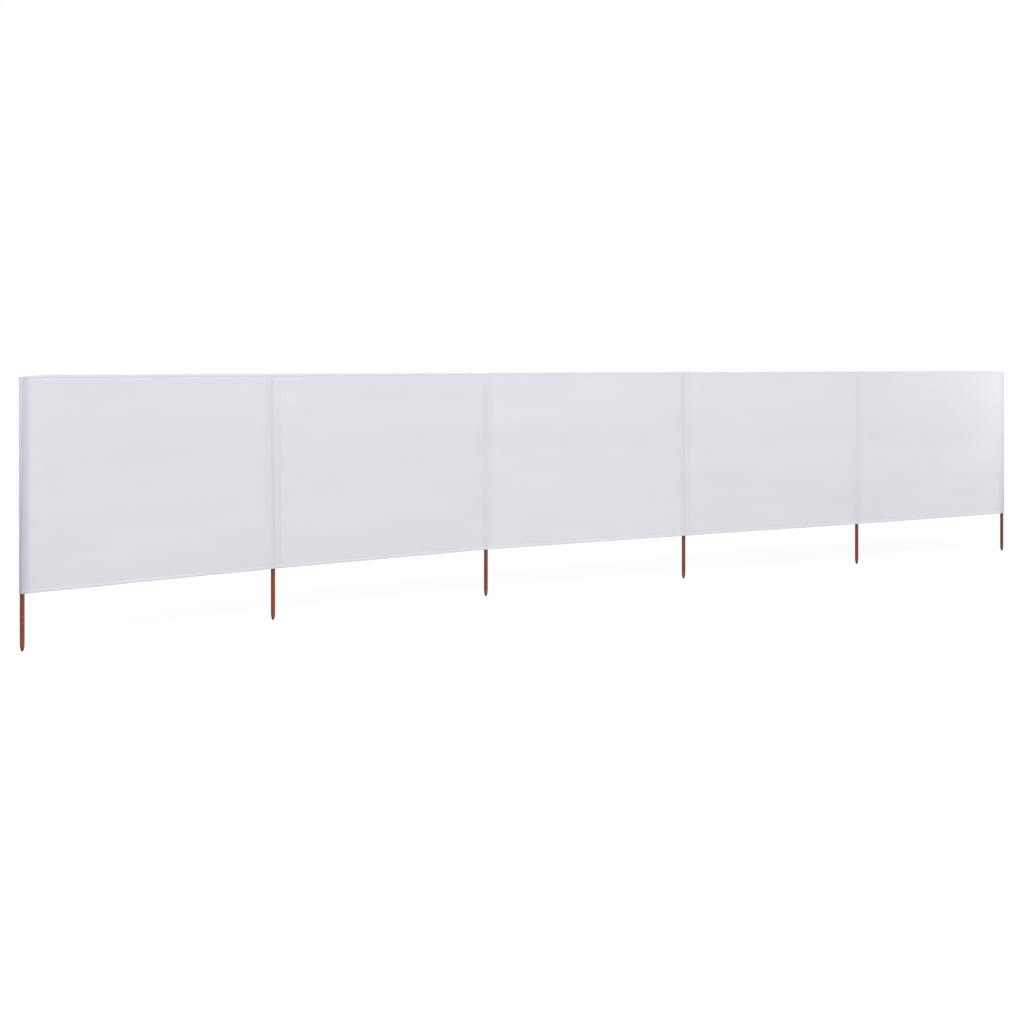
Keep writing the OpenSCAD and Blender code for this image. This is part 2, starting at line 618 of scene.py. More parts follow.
    def edge_shift(self, run: Array, height: Array) -> Array:
        """Small rise and fall of the long edges, with the corners of the top edge hanging a little.

        Args:
            run: Distance along the screen.
            height: Height above the ground.

        Returns:
            Shift upwards.
        """
        sizes, bay, roof = self.drift, self.plan.bay, self.plan.post_top - self.drift.roof_gap
        share = self.height_share(height)
        top = ease((share - 1 + sizes.head_share) / sizes.head_share)
        foot = ease((sizes.foot_share - share) / sizes.foot_share)
        beside = np.abs(run - bay * np.clip(np.rint(run / bay), 0, BAY_COUNT))
        away = ease((beside - self.cut.seam_end) / sizes.seam_fade)
        above = np.clip((height - roof) / (self.plan.high - roof), 0.0, 1.0)
        wave = sizes.long_wave * self.edges.at(run / sizes.long_cell, sizes.long_lane)
        wave = wave + sizes.short_wave * self.edges.at(run / sizes.short_cell, sizes.short_lane)
        bump = sizes.bump * hump(run - sizes.bump_post * bay - sizes.bump_beside, sizes.bump_width)
        left = sizes.left_drop * ease((sizes.left_reach - run) / sizes.left_length)
        right = sizes.right_drop * ease((run - bay * BAY_COUNT + sizes.right_reach) / sizes.right_length)
        rise = (away * top + (1 - away) * above) * (wave + bump - (left + right))
        return rise + foot * sizes.foot_wave * self.edges.at(run / sizes.foot_cell, sizes.foot_lane)

    def offset(self, run: Array, height: Array) -> Array:
        """Depth of the cloth behind the straight lines of the plan.

        Args:
            run: Distance along the screen.
            height: Height above the ground.

        Returns:
            Depth towards the back.
        """
        total = self.hem_relief(run, height) + self.slack(run, height)
        for post in range(POST_COUNT):
            along = run - post * self.plan.bay
            total = total - self.ridge(post, along, height) + self.pull(post, along, height)
        return total

    def base(self, run: Array) -> tuple[Array, Array]:
        """Line of the plan that the cloth is measured from.

        Args:
            run: Distances along the screen.

        Returns:
            Points of the plan and the direction towards the back at each.
        """
        plan, cut = self.plan, self.cut
        points, headings = np.zeros((len(run), 2)), np.zeros(len(run))
        for column, place in enumerate(run):
            post = int(np.clip(np.rint(place / plan.bay), 0, POST_COUNT - 1))
            along = place - post * plan.bay
            if abs(along) <= cut.seam_end + ROUNDING:
                points[column], headings[column] = self.beside_post(post, along)
            else:
                bay = int(place // plan.bay)
                start, _ = self.beside_post(bay, cut.seam_end)
                stop, _ = self.beside_post(bay + 1, -cut.seam_end)
                share = (place - bay * plan.bay - cut.seam_end) / (plan.bay - 2 * cut.seam_end)
                points[column] = start + (stop - start) * share
                headings[column] = plan.headings[bay]
        return points, np.stack([-np.sin(headings), np.cos(headings)], axis=1)

    def beside_post(self, post: int, along: float) -> tuple[Array, float]:
        """Point of the plan beside a post, where the run turns smoothly from pocket to bay.

        Args:
            post: Number of the post, from 0.
            along: Distance from the post's centre along the run.

        Returns:
            The point and the heading there.
        """
        plan, cut = self.plan, self.cut
        side = 1 if along > 0 else -1
        heading = float(plan.pocket_headings[post])
        turn = plan.bay_heading(post, side) - heading
        tail = cut.seam_end - cut.seam
        beyond = max(abs(along) - cut.seam, 0.0)
        bend = side * math.tan(turn) * beyond ** 2 / (2 * tail)
        forward = np.array([math.cos(heading), math.sin(heading)])
        back = np.array([-forward[1], forward[0]])
        point = plan.posts[post] + along * forward + (bend - cut.forward) * back
        return point, heading + turn * float(ease(beyond / tail))

    def place(self, run: Array, height: Array, behind: Array | float = 0.0) -> Array:
        """Points of the cloth.

        Args:
            run: Distances along the screen, one for each column.
            height: Heights, one for each row.
            behind: Further depth towards the back.

        Returns:
            Grid of points, rows by columns by three.
        """
        points, back = self.base(run)
        across, up = run[None, :], height[:, None]
        depth = self.offset(across, up) + behind
        grid = np.zeros((len(height), len(run), 3))
        grid[..., :2] = points[None] + back[None] * depth[..., None]
        grid[..., 2] = up + self.edge_shift(across, up)
        return grid

    def shade(self, run: Array, height: Array) -> Array:
        """Painted shade, standing for what lies behind the cloth showing through and for the shaded flanks
        and seams of the pockets: most at the posts.

        Args:
            run: Distances along the screen, one for each column.
            height: Heights, one for each row.

        Returns:
            Grid of shares from 0 to 1.
        """
        sizes, plan, across, up = self.thin, self.plan, run[None, :], height[:, None]
        # Painted shade: some over all the single cloth, less at the doubled hems, and the bands at the posts
        inward = np.minimum(up - plan.low, plan.high - up)
        doubled = 1 - ease((inward - self.cut.hem_height) / sizes.hem_soft + 0.5)
        lane = sizes.lane + sizes.hem_step * (2 * up > plan.low + plan.high)
        hidden = sizes.hem_hides + sizes.hem_uneven * self.edges.at(across / sizes.cell, lane)
        total = sizes.share * (1 - doubled * hidden)
        for post, shape in enumerate(self.shapes):
            total = total + shape.band.at(across - post * plan.bay, self.height_share(up))
        return np.clip(total, 0.0, 1.0)


@dataclass
class Layer:
    """One layer of cloth as a grid of points, with its weave coordinates and painted shade."""

    points: Array
    weave: Array
    shade: Array

    @classmethod
    def make(cls, points: Array, run: Array, rise: Array, shade: Array | None = None) -> "Layer":
        """Makes a layer.

        Args:
            points: Grid of points.
            run: Weave coordinate of each column, in metres.
            rise: Weave coordinate of each row, in metres.
            shade: Share of painted shade, nothing if left out.

        Returns:
            The layer.
        """
        weave = np.stack(np.broadcast_arrays(run[None, :], rise[:, None]), axis=2)
        return cls(points, weave, np.zeros(points.shape[:2]) if shade is None else shade)


@dataclass
class ClothMaker:
    """Turns layers of cloth into closed meshes, and folds their edges."""

    cut: ClothCut
    crease: float = math.radians(52)
    bend_rows: int = 7
    face_rows: int = 6
    face_start: float = 0.18
    turn_rows: int = 4
    raw_rows: tuple[float, ...] = (0.66, 0.33)
    sample_rows: int = 24
    sample_margin: float = 0.002

    def fold_line(self, turned: bool) -> tuple[Array, Array]:
        """Section of a hem, from the edge of the cloth to its raw end.

        Args:
            turned: Whether the raw end is turned under.

        Returns:
            Depth behind the cloth and distance from its edge, at each step.
        """
        radius, hem = self.cut.fold_radius, self.cut.hem_height
        swing = np.linspace(0, math.pi, self.bend_rows)
        face = np.linspace(self.face_start, 1.0, self.face_rows)
        depth = [radius - radius * np.cos(swing), np.full(len(face), 2 * radius)]
        drop = [radius - radius * np.sin(swing), radius + (hem - 1.5 * radius) * face]
        # A raw end turns under on half the radius and lies between the two layers
        if turned:
            small, raw = radius / 2, np.array(self.raw_rows)
            turn = np.linspace(0, math.pi, self.turn_rows + 1)[1:]
            depth += [1.5 * radius + small * np.cos(turn), np.full(len(raw), radius)]
            drop += [hem - small + small * np.sin(turn), 3 * radius + (hem - 3 * radius) * raw]
        return np.concatenate(depth), np.concatenate(drop)

    def folded_edge(self, grid: Grid, edge: Edge, limit: float, turned: bool) -> tuple[Array, Array]:
        """Cloth folded to the back along an edge.

        Args:
            grid: Gives the points of the cloth at a row of heights.
            edge: The edge that is folded.
            limit: Height of that edge.
            turned: Whether the raw end is turned under.

        Returns:
            Grid of points and the length along the fold at each row.
        """
        depth, drop = self.fold_line(turned)
        heights = limit - edge.value * drop
        length = np.concatenate([[0.0], np.cumsum(np.hypot(np.diff(depth), np.diff(drop)))])
        margin = self.sample_margin
        even = np.linspace(heights.min() - margin, heights.max() + margin, self.sample_rows)
        surface = grid(even)
        normals = outward(surface)
        share = np.interp(heights, even, np.arange(len(even)))
        lower = np.minimum(share.astype(int), len(even) - 2)
        mix = (share - lower)[:, None, None]
        normal = normals[lower] * (1 - mix) + normals[lower + 1] * mix
        points = surface[lower] * (1 - mix) + surface[lower + 1] * mix - normal * depth[:, None, None]
        if edge is Edge.BOTTOM:
            return points[::-1], (limit - length)[::-1]
        return points, heights[0] + length

    def shell(self, name: str, layers: Sequence[Layer], finish: Material) -> Object:
        """Makes one closed mesh from layers of cloth.

        Args:
            name: Name of the piece.
            layers: Layers, each given its thickness and closed round its rim.
            finish: Material of the piece.

        Returns:
            The new object, linked to the scene.
        """
        corners, faces, weave, shade, start = [], [], [], [], 0
        for layer in layers:
            rows, columns = layer.points.shape[:2]
            half = outward(layer.points) * self.cut.skin
            corners += [(layer.points + half).reshape(-1, 3), (layer.points - half).reshape(-1, 3)]
            weave += [layer.weave.reshape(-1, 2)] * 2
            shade += [layer.shade.reshape(-1)] * 2
            front = start + np.arange(rows * columns).reshape(rows, columns)
            rear = front + rows * columns
            faces += [self.quads(front), self.quads(rear)[:, ::-1]]
            for line, inner in ((front[0], rear[0]), (front[:, -1], rear[:, -1]),
                                (front[-1, ::-1], rear[-1, ::-1]), (front[::-1, 0], rear[::-1, 0])):
                faces.append(np.stack([line[1:], line[:-1], inner[:-1], inner[1:]], axis=1))
            start += 2 * rows * columns
        every = np.concatenate(faces)
        # The painted shade of each layer, which darkens the cloth's colour
        values = {"painted_shade": np.concatenate(shade)}
        mesh = smooth_mesh(name, np.concatenate(corners), every, values, self.crease, finish)
        spots = np.concatenate(weave)[every.reshape(-1)]
        mesh.uv_layers.new(name="weave").uv.foreach_set("vector", spots.reshape(-1))
        return new_object(name, mesh)

    @staticmethod
    def quads(corners: Array) -> Array:
        """Faces between the neighbouring corners of a grid."""
        rim = [corners[:-1, :-1], corners[:-1, 1:], corners[1:, 1:], corners[1:, :-1]]
        return np.stack(rim, axis=2).reshape(-1, 4)


class NodeGraph:
    """Adds nodes to one tree and joins them."""

    def __init__(self, tree: NodeTree) -> None:
        """Works on the given tree."""
        self.tree = tree

    def add(self, kind: str, inputs: Inputs | None = None, **settings: object) -> Node:
        """Adds a node.

        Args:
            kind: Type of the node.
            inputs: Sockets by name or number, each with a value or another node's socket.
            settings: Properties of the node.

        Returns:
            The new node.
        """
        node = self.tree.nodes.new(kind)
        for name, value in settings.items():
            setattr(node, name, value)
        self.fill(node, inputs or {})
        return node

    def fill(self, node: Node, inputs: Inputs) -> None:
        """Gives a node's sockets values or joins them to other sockets.

        Args:
            node: The node.
            inputs: Sockets by name or number, each with a value or another node's socket.
        """
        for key, value in inputs.items():
            if isinstance(value, NodeSocket):
                self.tree.links.new(value, node.inputs[key])
            else:
                node.inputs[key].default_value = value

    def math(self, operation: str, first: object, second: object = 0.0) -> NodeSocket:
        """Result of a Math node."""
        return self.add("ShaderNodeMath", {0: first, 1: second}, operation=operation).outputs[0]

    def remap(self, value: object, source: Pair, target: Pair = (0.0, 1.0)) -> NodeSocket:
        """Value carried smoothly from one range to another and cut to it."""
        inputs = {"Value": value, "From Min": source[0], "From Max": source[1],
                  "To Min": target[0], "To Max": target[1]}
        return self.add("ShaderNodeMapRange", inputs, interpolation_type="SMOOTHSTEP").outputs["Result"]

    def blend(self, share: object, first: object, second: object) -> NodeSocket:
        """Colour between two colours."""
        return self.add("ShaderNodeMix", {0: share, 6: first, 7: second}, data_type="RGBA").outputs[2]

    def stretched(self, place: object, scale: Triple) -> NodeSocket:
        """Coordinates multiplied along each axis."""
        return self.add("ShaderNodeVectorMath", {0: place, 1: scale}, operation="MULTIPLY").outputs[0]

    def noise(self, place: object, scale: object, detail: float, roughness: float = 0.5) -> NodeSocket:
        """Noise value from 0 to 1."""
        inputs = {"Vector": place, "Scale": scale, "Detail": detail, "Roughness": roughness}
        return self.add("ShaderNodeTexNoise", inputs).outputs[0]

    def attribute(self, name: str) -> NodeSocket:
        """Value that the mesh holds under a name."""
        return self.add("ShaderNodeAttribute", attribute_name=name).outputs["Fac"]

    def place(self) -> NodeSocket:
        """Object coordinates."""
        return self.add("ShaderNodeTexCoord").outputs["Object"]


class ShaderGroups:
    """Shader effects of the finishes, each a node group that is built once."""

    CROSSING = 0.35
    UPRIGHT_SLUBS = (620.0, 9.0, 1.0)
    LEVEL_SLUBS = (7.0, 700.0, 1.0)
    SLUB_DETAIL = 2.0
    MOTTLE_DETAIL = 4.0
    MOTTLE_ROUGHNESS = 0.55
    MOTTLE_RANGE = (0.3, 0.7)

    def __init__(self) -> None:
        """Builds the groups."""
        self.weave = self.plain_weave()
        self.mottle = self.soft_mottle()

    @staticmethod
    def start(name: str, inputs: dict[str, float | None],
              outputs: Sequence[str]) -> tuple[NodeGraph, Node, Node]:
        """Starts a group.

        Args:
            name: Name of the group.
            inputs: Default of each input, with none for a vector.
            outputs: Names of the value outputs.

        Returns:
            The graph, its input node and its output node.
        """
        tree = bpy.data.node_groups.new(name, "ShaderNodeTree")
        for label, default in inputs.items():
            kind = "NodeSocketVector" if default is None else "NodeSocketFloat"
            socket = tree.interface.new_socket(name=label, in_out="INPUT", socket_type=kind)
            if default is not None:
                socket.default_value = default
        for label in outputs:
            tree.interface.new_socket(name=label, in_out="OUTPUT", socket_type="NodeSocketFloat")
        graph = NodeGraph(tree)
        return graph, graph.add("NodeGroupInput"), graph.add("NodeGroupOutput")

    def plain_weave(self) -> NodeTree:
        """Plain weave with uneven threads.

        Returns:
            A group with the height of the weave and the tone of its threads.
        """
        inputs = {"Weave": None, "Pitch": 0.0006, "Slub": 1.0}
        graph, source, target = self.start("plain_weave", inputs, ("Height", "Tone"))
        place = source.outputs["Weave"]
        counted = graph.math("DIVIDE", math.pi, source.outputs["Pitch"])
        axes = graph.add("ShaderNodeSeparateXYZ", {0: place})
        warp = graph.math("SINE", graph.math("MULTIPLY", axes.outputs[0], counted))
        weft = graph.math("SINE", graph.math("MULTIPLY", axes.outputs[1], counted))
        over = graph.remap(graph.math("MULTIPLY", warp, weft), (-self.CROSSING, self.CROSSING))
        warp_top = graph.math("MULTIPLY", graph.math("ABSOLUTE", warp), over)
        weft_top = graph.math("MULTIPLY", graph.math("ABSOLUTE", weft), graph.math("SUBTRACT", 1.0, over))
        upright = graph.noise(graph.stretched(place, self.UPRIGHT_SLUBS), 1.0, self.SLUB_DETAIL)
        level = graph.noise(graph.stretched(place, self.LEVEL_SLUBS), 1.0, self.SLUB_DETAIL)
        uneven = graph.math("SUBTRACT", graph.math("ADD", upright, level), 1.0)
        tone = graph.math("ADD", 0.5, graph.math("MULTIPLY", uneven, source.outputs["Slub"]))
        graph.fill(target, {"Height": graph.math("ADD", warp_top, weft_top), "Tone": tone})
        return graph.tree

    def soft_mottle(self) -> NodeTree:
        """Large soft patches with finer ones inside them.

        Returns:
            A group with one mask from 0 to 1.
        """
        graph, source, target = self.start("soft_mottle", {"Place": None, "Patch": 0.2}, ("Mask",))
        scale = graph.math("DIVIDE", 1.0, source.outputs["Patch"])
        large = graph.noise(source.outputs["Place"], scale, self.MOTTLE_DETAIL, self.MOTTLE_ROUGHNESS)
        graph.fill(target, {"Mask": graph.remap(large, self.MOTTLE_RANGE)})
        return graph.tree

    def patches(self, graph: NodeGraph, place: NodeSocket, patch: float) -> NodeSocket:
        """Mask of soft patches of the given size, in a material."""
        inputs = {"Place": place, "Patch": patch}
        return graph.add("ShaderNodeGroup", inputs, node_tree=self.mottle).outputs["Mask"]


def new_material(name: str, shown: Colour) -> tuple[Material, NodeGraph, Node]:
    """Starts a material.

    Args:
        name: Name of the material.
        shown: Colour in the viewport.

    Returns:
        The material, its graph and its empty Principled shader.
    """
    material = bpy.data.materials.new(name)
    material.use_nodes = True
    material.diffuse_color = shown
    material.node_tree.nodes.clear()
    graph = NodeGraph(material.node_tree)
    shader = graph.add("ShaderNodeBsdfPrincipled")
    graph.add("ShaderNodeOutputMaterial", {"Surface": shader.outputs[0]})
    return material, graph, shader


@dataclass(frozen=True)
class ClothFinish:
    """Matt white plain-woven cloth with a faint lavender cast: sizes in metres."""

    name: str = "white_cloth_weave"
    pale: Colour = srgb(230, 228, 235)
    dull: Colour = srgb(223, 221, 228)
    # Colour of the painted shade where the posts and the room behind show through
    behind: Colour = srgb(188, 184, 199)
    pitch: float = 0.0006
    slub: float = 0.55
    lengthwise: Triple = (0.22, 0.22, 1.0)
    patch: float = 0.16
    patch_share: float = 0.42
    fine_patch: float = 0.035
    fine_share: float = 0.12
    thread_share: float = 0.4
    painted_shade_least: float = 0.8
    roughness: Pair = (0.82, 0.91)
    specular: float = 0.25
    sheen: float = 0.12
    sheen_roughness: float = 0.45
    bump: float = 0.10
    bump_depth: float = 0.0003

    def material(self, groups: ShaderGroups) -> Material:
        """Makes the cloth's material.

        Args:
            groups: Shared shader effects.

        Returns:
            The material.
        """
        material, graph, shader = new_material(self.name, self.pale)
        threads = graph.add("ShaderNodeUVMap", uv_map="weave").outputs[0]
        place = graph.place()
        inputs = {"Weave": threads, "Pitch": self.pitch, "Slub": self.slub}
        weave = graph.add("ShaderNodeGroup", inputs, node_tree=groups.weave).outputs
        mottle = groups.patches(graph, graph.stretched(place, self.lengthwise), self.patch)
        fine = groups.patches(graph, place, self.fine_patch)
        tone = graph.math("ADD", graph.math("MULTIPLY", mottle, self.patch_share),
                          graph.math("MULTIPLY", fine, self.fine_share))
        tone = graph.math("ADD", tone, graph.math("MULTIPLY", weave["Tone"], self.thread_share))
        plain = graph.blend(tone, self.dull, self.pale)
        # Painted shade: the plain colour darkens towards the shade colour by the mesh's painted shade, a
        # little unevenly
        vary = graph.math("MULTIPLY", fine, 1 - self.painted_shade_least)
        strength = graph.math("ADD", self.painted_shade_least, vary)
        seen = graph.math("MULTIPLY", graph.attribute("painted_shade"), strength)
        bump = {"Strength": self.bump, "Distance": self.bump_depth, "Height": weave["Height"]}
        graph.fill(shader, {
            "Base Color": graph.blend(seen, plain, self.behind),
            "Roughness": graph.remap(fine, (0.0, 1.0), self.roughness),
            "Normal": graph.add("ShaderNodeBump", bump).outputs[0],
            "Specular IOR Level": self.specular,
            "Sheen Weight": self.sheen,
            "Sheen Roughness": self.sheen_roughness,
        })
        return material


@dataclass(frozen=True)
class ThreadFinish:
    """White sewing thread, a little brighter than the cloth: sizes in metres."""

    name: str = "white_thread"
    pale: Colour = srgb(236, 234, 239)
    dull: Colour = srgb(216, 213, 221)
    patch: float = 0.004
    roughness: Pair = (0.52, 0.68)
    sheen: float = 0.1

    def material(self, groups: ShaderGroups) -> Material:
        """Makes the thread's material.

        Args:
            groups: Shared shader effects.

        Returns:
            The material.
        """
        material, graph, shader = new_material(self.name, self.pale)
        mottle = groups.patches(graph, graph.place(), self.patch)
        graph.fill(shader, {
            "Base Color": graph.blend(mottle, self.dull, self.pale),
            "Roughness": graph.remap(mottle, (0.0, 1.0), self.roughness),
            "Sheen Weight": self.sheen,
        })
        return material


@dataclass(frozen=True)
class WoodFinish:
    """Turned wood, stained reddish brown, with a satin surface: patterns in cells for a metre."""

    name: str = "stained_turned_wood"
    warm: Colour = srgb(164, 85, 56)
    deep: Colour = srgb(111, 61, 44)
    pore: Colour = srgb(74, 42, 33)
    worn: Colour = srgb(172, 114, 86)
    # Colour of the painted shade on the neck under the pocket's mouth, and of the darker tip
    neck_shade_tip_colour: Colour = srgb(84, 62, 54)
    wander_cells: Triple = (14.0, 14.0, 2.2)
    grain_cells: Triple = (210.0, 210.0, 4.0)
    grain_detail: float = 5.0
    grain_roughness: float = 0.6
    grain_range: Pair = (0.34, 0.66)
    pore_cells: Triple = (1300.0, 1300.0, 26.0)
    pore_range: Pair = (0.60, 0.72)
    pore_tone: Pair = (0.0, 0.55)
    pit_range: Pair = (0.58, 0.72)
    fine_detail: float = 2.0
    patch: float = 0.07
    patch_share: float = 0.30
    rub_range: Pair = (0.35, 0.6)
    rub_share: Pair = (0.15, 0.8)
    neck_shade_tip_range: Pair = (0.3, 0.7)
    neck_shade_tip_share: Pair = (0.85, 0.55)
    gloss_range: Pair = (0.2, 1.8)
    roughness: Pair = (0.60, 0.42)
    specular: float = 0.28
    grain_height: float = 0.5
    bump: float = 0.25
    bump_depth: float = 0.0004

    def material(self, groups: ShaderGroups) -> Material:
        """Makes the wood's material.

        Args:
            groups: Shared shader effects.

        Returns:
            The material.
        """
        material, graph, shader = new_material(self.name, self.warm)
        place = graph.place()
        wander = graph.noise(graph.stretched(place, self.wander_cells), 1.0, self.fine_detail)
        drifted = graph.add("ShaderNodeVectorMath", {0: place, 1: wander}, operation="ADD").outputs[0]
        drawn = graph.stretched(drifted, self.grain_cells)
        streak = graph.noise(drawn, 1.0, self.grain_detail, self.grain_roughness)
        pores = graph.noise(graph.stretched(place, self.pore_cells), 1.0, self.fine_detail)
        mottle = groups.patches(graph, place, self.patch)
        grain = graph.remap(streak, self.grain_range)
        blotch = graph.math("MULTIPLY", mottle, self.patch_share)
        darker = graph.math("ADD", blotch, graph.attribute("stain"))
        stained = graph.blend(darker, graph.blend(grain, self.deep, self.warm), self.deep)
        dotted = graph.blend(graph.remap(pores, self.pore_range, self.pore_tone), stained, self.pore)
        rub = graph.remap(streak, self.rub_range, self.rub_share)
        rubbed = graph.blend(graph.math("MULTIPLY", graph.attribute("worn"), rub), dotted, self.worn)
        # Painted shade on the neck under the pocket's mouth, and a darker tip, both streaked along the grain
        neck_tip_streaks = graph.remap(streak, self.neck_shade_tip_range, self.neck_shade_tip_share)
        darkened = graph.blend(graph.math("MULTIPLY", graph.attribute("neck_shade_tip_dark"), neck_tip_streaks), rubbed, self.neck_shade_tip_colour)
        pits = graph.remap(pores, self.pit_range)
        height = graph.math("SUBTRACT", graph.math("MULTIPLY", grain, self.grain_height), pits)
        bump = {"Strength": self.bump, "Distance": self.bump_depth, "Height": height}
        graph.fill(shader, {
            "Base Color": darkened,
            "Roughness": graph.remap(graph.math("ADD", mottle, grain), self.gloss_range, self.roughness),
            "Normal": graph.add("ShaderNodeBump", bump).outputs[0],
            "Specular IOR Level": self.specular,
        })
        return material


@dataclass
class StitchRow:
    """A line of stitches: points on a face of the cloth and the way through it."""

    points: Array
    back: Array


@dataclass(frozen=True)
class StitchMaker:
    """Sews rows of stitches with Geometry Nodes: sizes in metres."""

    pitch: float = 0.0034
    length: float = 0.0027
    width: float = 0.0008
    height: float = 0.0007
    uneven: float = 0.08
    seed: int = 7

    def sizes(self) -> dict[str, float]:
        """Sizes by the names of the tree's inputs."""
        return {"Pitch": self.pitch, "Stitch Length": self.length, "Stitch Width": self.width,
                "Stitch Height": self.height, "Uneven": self.uneven}

    def tree(self, finish: Material) -> NodeTree:
        """Builds the tree that puts a stitch at each step along a row.

        Args:
            finish: Material of the thread.

        Returns:
            The node tree.
        """
        tree = bpy.data.node_groups.new("stitch_rows", "GeometryNodeTree")
        sockets = [("Rows", "INPUT", "Geometry")] + [(label, "INPUT", "Float") for label in self.sizes()]
        for label, way, kind in sockets + [("Seed", "INPUT", "Int"), ("Stitches", "OUTPUT", "Geometry")]:
            tree.interface.new_socket(name=label, in_out=way, socket_type=f"NodeSocket{kind}")
        graph = NodeGraph(tree)
        source = graph.add("NodeGroupInput").outputs
        curve = graph.add("GeometryNodeMeshToCurve", {0: source["Rows"]})
        walk = {"Curve": curve.outputs[0], "Length": source["Pitch"]}
        steps = graph.add("GeometryNodeCurveToPoints", walk, mode="LENGTH").outputs
        back = graph.add("GeometryNodeInputNamedAttribute", {"Name": "cloth_back"}, data_type="FLOAT_VECTOR")
        turn = graph.add("FunctionNodeAxesToRotation", {0: steps["Tangent"], 1: back.outputs[0]},
                         primary_axis="X", secondary_axis="Z")
        most, least = (graph.math(way, 1.0, source["Uneven"]) for way in ("ADD", "SUBTRACT"))
        chance = {2: least, 3: most, "Seed": source["Seed"]}
        vary = graph.add("FunctionNodeRandomValue", chance, data_type="FLOAT")
        length, width, height = (graph.math("MULTIPLY", source[f"Stitch {size}"], 0.5)
                                 for size in ("Length", "Width", "Height"))
        length = graph.math("MULTIPLY", length, vary.outputs[1])
        scale = graph.add("ShaderNodeCombineXYZ", {0: length, 1: width, 2: height})
        bead = graph.add("GeometryNodeMeshIcoSphere", {"Radius": 1.0, "Subdivisions": 1})
        placed = graph.add("GeometryNodeInstanceOnPoints", {
            "Points": steps["Points"], "Instance": bead.outputs["Mesh"],
            "Rotation": turn.outputs[0], "Scale": scale.outputs[0]})
        smooth = graph.add("GeometryNodeSetShadeSmooth", {0: placed.outputs[0]})
        real = graph.add("GeometryNodeRealizeInstances", {0: smooth.outputs[0]})
        dressed = graph.add("GeometryNodeSetMaterial", {"Geometry": real.outputs[0], "Material": finish})
        graph.add("NodeGroupOutput", {0: dressed.outputs[0]})
        return tree

    def sew(self, name: str, rows: Sequence[StitchRow], tree: NodeTree) -> Object:
        """Sews rows of stitches as one plain mesh.

        Args:
            name: Name of the piece.
            rows: The rows.
            tree: Tree that places the stitches.

        Returns:
            The new object, linked to the scene.
        """
        edges, start = [], 0
        for row in rows:
            edges += [(step, step + 1) for step in range(start, start + len(row.points) - 1)]
            start += len(row.points)
        guide_mesh = bpy.data.meshes.new(name + "_guide")
        guide_mesh.from_pydata(np.concatenate([row.points for row in rows]), edges, [])
        back = np.concatenate([row.back for row in rows]).astype(np.float32)
        layer = guide_mesh.attributes.new("cloth_back", "FLOAT_VECTOR", "POINT")
        layer.data.foreach_set("vector", back.reshape(-1))
        guide = new_object(name + "_guide", guide_mesh)
        modifier = guide.modifiers.new("stitches", "NODES")
        modifier.node_group = tree
        values = {**self.sizes(), "Seed": self.seed}
        for item in tree.interface.items_tree:
            if item.item_type == "SOCKET" and item.in_out == "INPUT" and item.name in values:
                modifier[item.identifier] = values[item.name]
        evaluated = guide.evaluated_get(bpy.context.evaluated_depsgraph_get())
        mesh = bpy.data.meshes.new_from_object(evaluated)
        mesh.name = name
        guide.modifiers.remove(modifier)
        bpy.data.objects.remove(guide)
        bpy.data.meshes.remove(guide_mesh)
        return new_object(name, mesh)


@dataclass
class Finishes:
    """Materials of the windbreak, and the tree of its stitches."""

    cloth: Material
    wood: Material
    stitches: NodeTree

    @classmethod
    def make(cls, sewer: StitchMaker) -> "Finishes":
        """Makes every material and the tree of the stitches.

        Args:
            sewer: Sizes of the stitches.

        Returns:
            The finishes.
        """
        groups = ShaderGroups()
        thread = ThreadFinish().material(groups)
        return cls(ClothFinish().material(groups), WoodFinish().material(groups), sewer.tree(thread))


def dress(piece: Object, slot: Slot, *nodes: str) -> Object:
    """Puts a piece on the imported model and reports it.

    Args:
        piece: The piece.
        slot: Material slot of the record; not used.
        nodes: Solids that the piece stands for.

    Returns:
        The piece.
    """
    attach(piece, BODY)
    if nodes:
        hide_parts(*nodes)
    LOG.info("%s: %d faces", piece.name, len(piece.data.polygons))
    return piece


